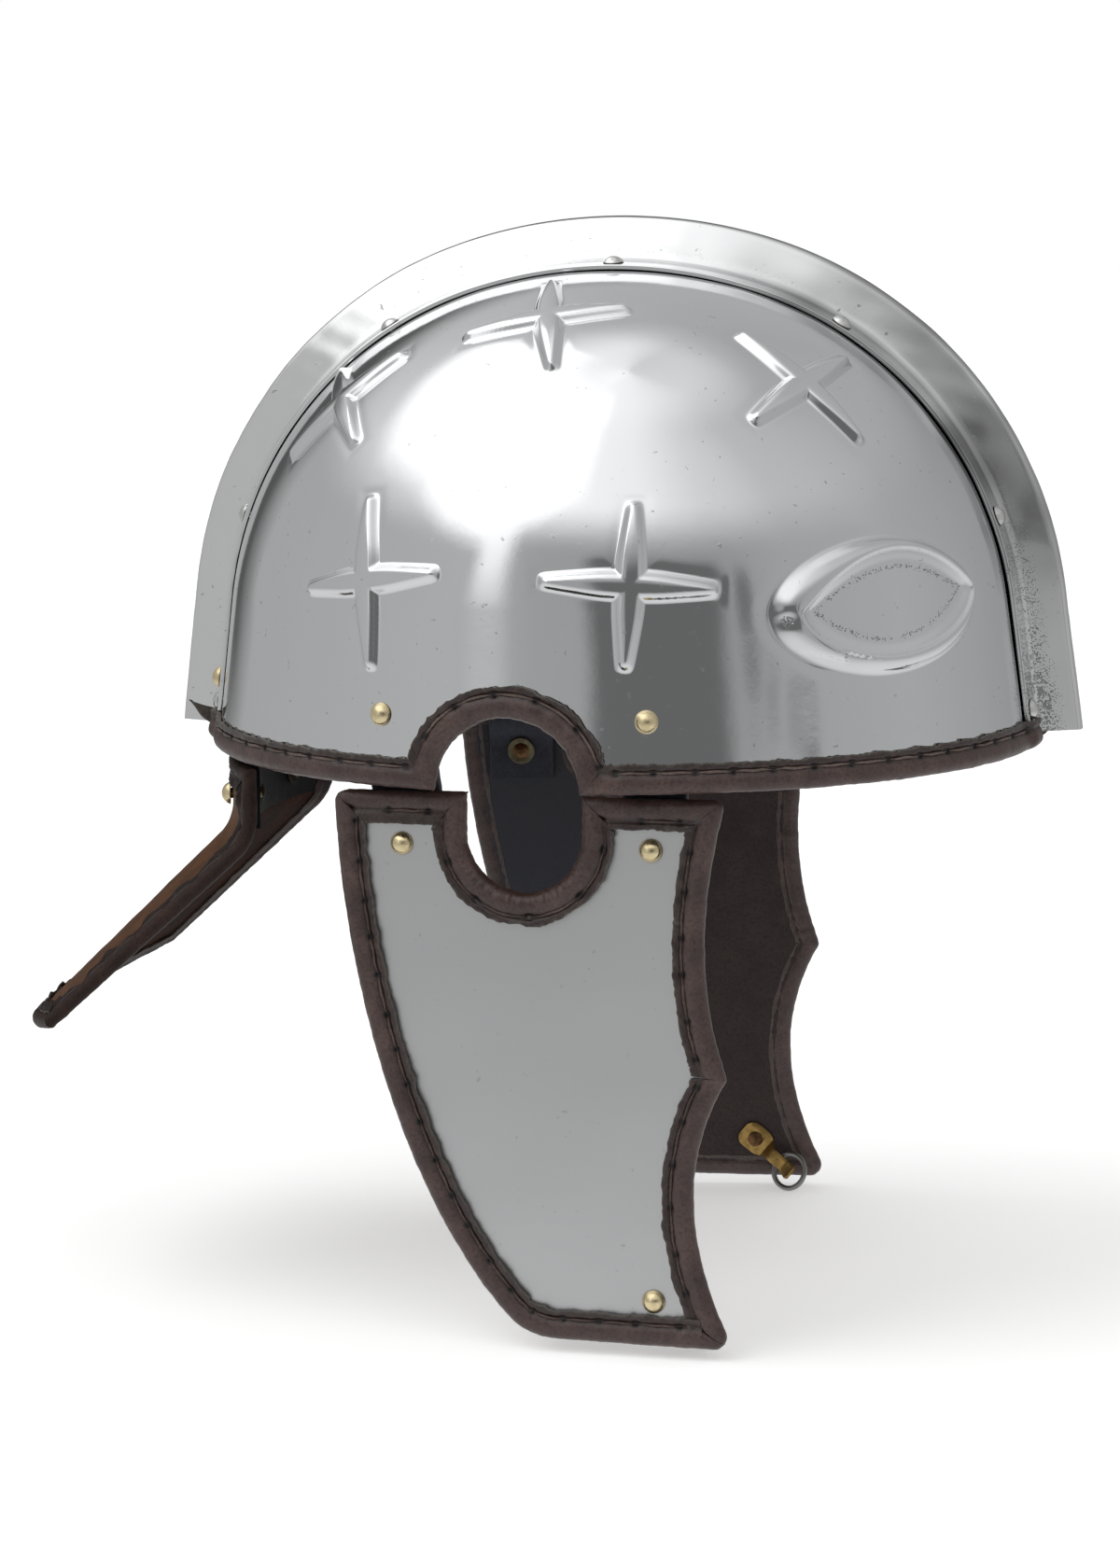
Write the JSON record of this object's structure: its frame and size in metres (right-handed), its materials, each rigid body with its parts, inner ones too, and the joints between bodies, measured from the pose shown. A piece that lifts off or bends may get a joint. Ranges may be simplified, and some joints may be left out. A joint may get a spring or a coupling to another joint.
{
  "type": "late roman ridge helmet",
  "caption": "Two-part steel bowl joined by a raised hollow ridge, with leather-bound ear arches, hinged cheek guards and neck guard.",
  "frame": {"origin": "centre of the head opening, in the plane of the bowl's steel edge", "axes": "+X to the face, +Y to the wearer's left, +Z to the crown"},
  "size_m": [0.282, 0.194, 0.2806],
  "materials": {
    "skull_steel": "polished, with fine pits",
    "ridge_steel": "polished",
    "plate_steel": "satin",
    "ring_steel": "dull",
    "hook_brass": "polished",
    "washer_brass": "dull",
    "rivet_brass": "polished",
    "cover_leather": "smooth",
    "lace_leather": "smooth",
    "liner_leather": "smooth",
    "lining_leather": "smooth",
    "strap_leather": "smooth",
    "binding_leather": "smooth"
  },
  "bodies": {
    "skull": {"skull_right": "skull_steel", "skull_left": "skull_steel", "ridge": "ridge_steel", "ridge_rivets_right": "ridge_steel", "ridge_rivets_left": "ridge_steel", "rim_binding_right": "binding_leather", "rim_binding_left": "binding_leather", "liner_band": "liner_leather", "liner_tongues": "liner_leather", "liner_lace": "lace_leather", "strap_rivets_right": "rivet_brass", "strap_rivets_left": "rivet_brass", "strap_rivet_washers_right": "washer_brass", "strap_rivet_washers_left": "washer_brass", "neck_strap_rivets": "rivet_brass", "neck_strap_washers": "washer_brass", "strap_rear_right": "strap_leather", "strap_front_right": "strap_leather", "strap_rear_left": "strap_leather", "strap_front_left": "strap_leather", "neck_strap": "strap_leather"},
    "cheek_right": {"cheek_plate_right": "plate_steel", "cheek_lining_right": "lining_leather", "cheek_binding_right": "binding_leather", "cheek_rivets_right": "rivet_brass", "cheek_washers_right": "washer_brass", "tie_hook_right": "hook_brass"},
    "cheek_left": {"cheek_plate_left": "plate_steel", "cheek_lining_left": "lining_leather", "cheek_binding_left": "binding_leather", "cheek_rivets_left": "rivet_brass", "cheek_washers_left": "washer_brass", "tie_hook_left": "hook_brass"},
    "ring_right": {"tie_ring_right": "ring_steel"},
    "ring_left": {"tie_ring_left": "ring_steel"},
    "neck_guard": {"neck_plate": "plate_steel", "neck_cover": "cover_leather", "neck_lining": "lining_leather", "neck_binding": "binding_leather", "neck_rivets": "rivet_brass", "neck_washers": "washer_brass"}
  },
  "joints": [
    {"name": "cheek_right_hinge", "type": "hinge", "parent": "skull", "child": "cheek_right", "pos_m": [-0.01182, -0.08048, -0.00843], "axis": [-0.9969, 0.0785, 0], "range_deg": [-25, 90], "stiffness_Nm_per_rad": 0.15, "springref_deg": 1.07, "deforming": ["strap_rear_right", "strap_front_right"]},
    {"name": "cheek_left_hinge", "type": "hinge", "parent": "skull", "child": "cheek_left", "pos_m": [-0.01182, 0.08048, -0.00843], "axis": [0.9969, 0.0785, 0], "range_deg": [-25, 90], "stiffness_Nm_per_rad": 0.15, "springref_deg": 1.07, "deforming": ["strap_rear_left", "strap_front_left"]},
    {"name": "neck_guard_hinge", "type": "hinge", "parent": "skull", "child": "neck_guard", "pos_m": [-0.10299, 0, -0.006], "axis": [0, 1, 0], "range_deg": [-10, 50], "stiffness_Nm_per_rad": 0.5, "springref_deg": 3.9, "deforming": ["neck_strap"]},
    {"name": "ring_right_hinge", "type": "hinge", "parent": "cheek_right", "child": "ring_right", "pos_m": [0.0276, -0.08543, -0.1389], "axis": [0.6434, -0.0171, 0.7653], "range_deg": [0, 110]},
    {"name": "ring_left_hinge", "type": "hinge", "parent": "cheek_left", "child": "ring_left", "pos_m": [0.0276, 0.08543, -0.1389], "axis": [-0.6434, -0.0171, -0.7653], "range_deg": [0, 110]}
  ]
}
